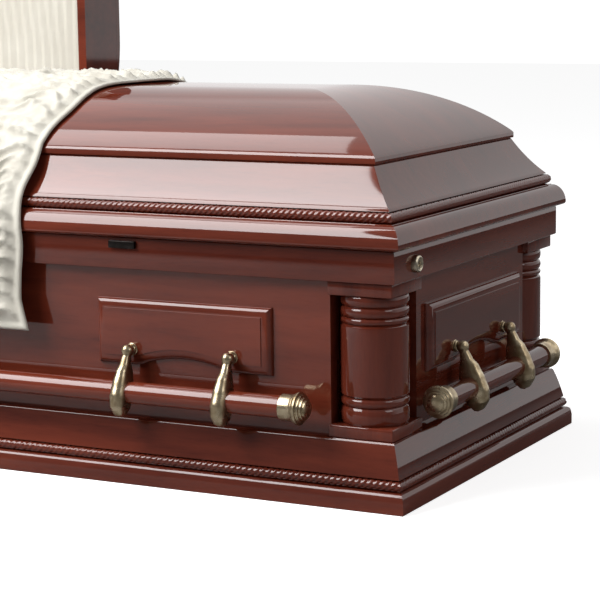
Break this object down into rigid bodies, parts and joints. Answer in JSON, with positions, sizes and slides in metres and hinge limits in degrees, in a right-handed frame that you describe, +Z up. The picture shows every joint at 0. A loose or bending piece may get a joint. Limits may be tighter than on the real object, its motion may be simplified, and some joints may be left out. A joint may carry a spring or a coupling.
{
  "type": "funeral casket",
  "caption": "Half-couch wooden funeral casket with moulded base, turned corner columns, raised panels, swing bar handles, hinged lids and a cloth throw over the foot lid.",
  "frame": {"origin": "on the floor under the middle of the box, at the underside of the floor board", "axes": "+X towards the foot end, -Y the front where the lids open, +Z up"},
  "size_m": [2.1566, 0.9393, 1.069],
  "materials": {
    "mahogany": "high-gloss red-brown lacquer",
    "antique_brass": "satin antique brass",
    "cream_cloth": "shirred cream crepe",
    "dark_metal": "dark bronze"
  },
  "bodies": {
    "root": {"base_moulding_back": "mahogany", "base_moulding_foot": "mahogany", "base_moulding_front": "mahogany", "base_moulding_head": "mahogany", "box_lining": "cream_cloth", "corner_post_back_foot": "mahogany", "corner_post_back_head": "mahogany", "corner_post_front_foot": "mahogany", "corner_post_front_head": "mahogany", "corner_recess_back_foot": "mahogany", "corner_recess_back_head": "mahogany", "corner_recess_front_foot": "mahogany", "corner_recess_front_head": "mahogany", "floor_board": "mahogany", "foot_lid_hinge": "antique_brass", "handle_ear_back_1": "antique_brass", "handle_ear_back_2": "antique_brass", "handle_ear_back_3": "antique_brass", "handle_ear_back_4": "antique_brass", "handle_ear_back_5": "antique_brass", "handle_ear_back_6": "antique_brass", "handle_ear_foot_1": "antique_brass", "handle_ear_foot_2": "antique_brass", "handle_ear_front_1": "antique_brass", "handle_ear_front_2": "antique_brass", "handle_ear_front_3": "antique_brass", "handle_ear_front_4": "antique_brass", "handle_ear_front_5": "antique_brass", "handle_ear_front_6": "antique_brass", "handle_ear_head_1": "antique_brass", "handle_ear_head_2": "antique_brass", "head_lid_hinge": "antique_brass", "key_cap": "antique_brass", "lid_catch": "dark_metal", "raised_panel_back_1": "mahogany", "raised_panel_back_2": "mahogany", "raised_panel_back_3": "mahogany", "raised_panel_foot_1": "mahogany", "raised_panel_front_1": "mahogany", "raised_panel_front_2": "mahogany", "raised_panel_front_3": "mahogany", "raised_panel_head_1": "mahogany", "top_rail_back": "mahogany", "top_rail_foot": "mahogany", "top_rail_front": "mahogany", "top_rail_head": "mahogany", "wall_back": "mahogany", "wall_foot": "mahogany", "wall_front": "mahogany", "wall_head": "mahogany"},
    "foot_lid": {"foot_lid_frame": "mahogany", "foot_lid_crown": "mahogany", "lid_throw": "cream_cloth"},
    "head_lid": {"head_lid_frame": "mahogany", "head_lid_crown": "mahogany", "head_lid_lining": "cream_cloth"},
    "front_handle": {"swing_handle_front": "antique_brass"},
    "back_handle": {"swing_handle_back": "antique_brass"},
    "foot_handle": {"swing_handle_foot": "antique_brass"},
    "head_handle": {"swing_handle_head": "antique_brass"}
  },
  "joints": [
    {"name": "foot_lid_hinge", "type": "hinge", "parent": "root", "child": "foot_lid", "pos_m": [0, 0.3365, 0.387], "axis": [-1, 0, 0], "range_deg": [0, 90]},
    {"name": "head_lid_hinge", "type": "hinge", "parent": "root", "child": "head_lid", "pos_m": [0, 0.3365, 0.387], "axis": [1, 0, 0], "range_deg": [0, 90]},
    {"name": "front_handle_swing", "type": "hinge", "parent": "root", "child": "front_handle", "pos_m": [0, -0.3405, 0.212], "axis": [-1, 0, 0], "range_deg": [0, 70]},
    {"name": "back_handle_swing", "type": "hinge", "parent": "root", "child": "back_handle", "pos_m": [0, 0.3405, 0.212], "axis": [1, 0, 0], "range_deg": [0, 70]},
    {"name": "foot_handle_swing", "type": "hinge", "parent": "root", "child": "foot_handle", "pos_m": [1.039, 0, 0.212], "axis": [0, -1, 0], "range_deg": [0, 70]},
    {"name": "head_handle_swing", "type": "hinge", "parent": "root", "child": "head_handle", "pos_m": [-1.039, 0, 0.212], "axis": [0, 1, 0], "range_deg": [0, 70]}
  ]
}
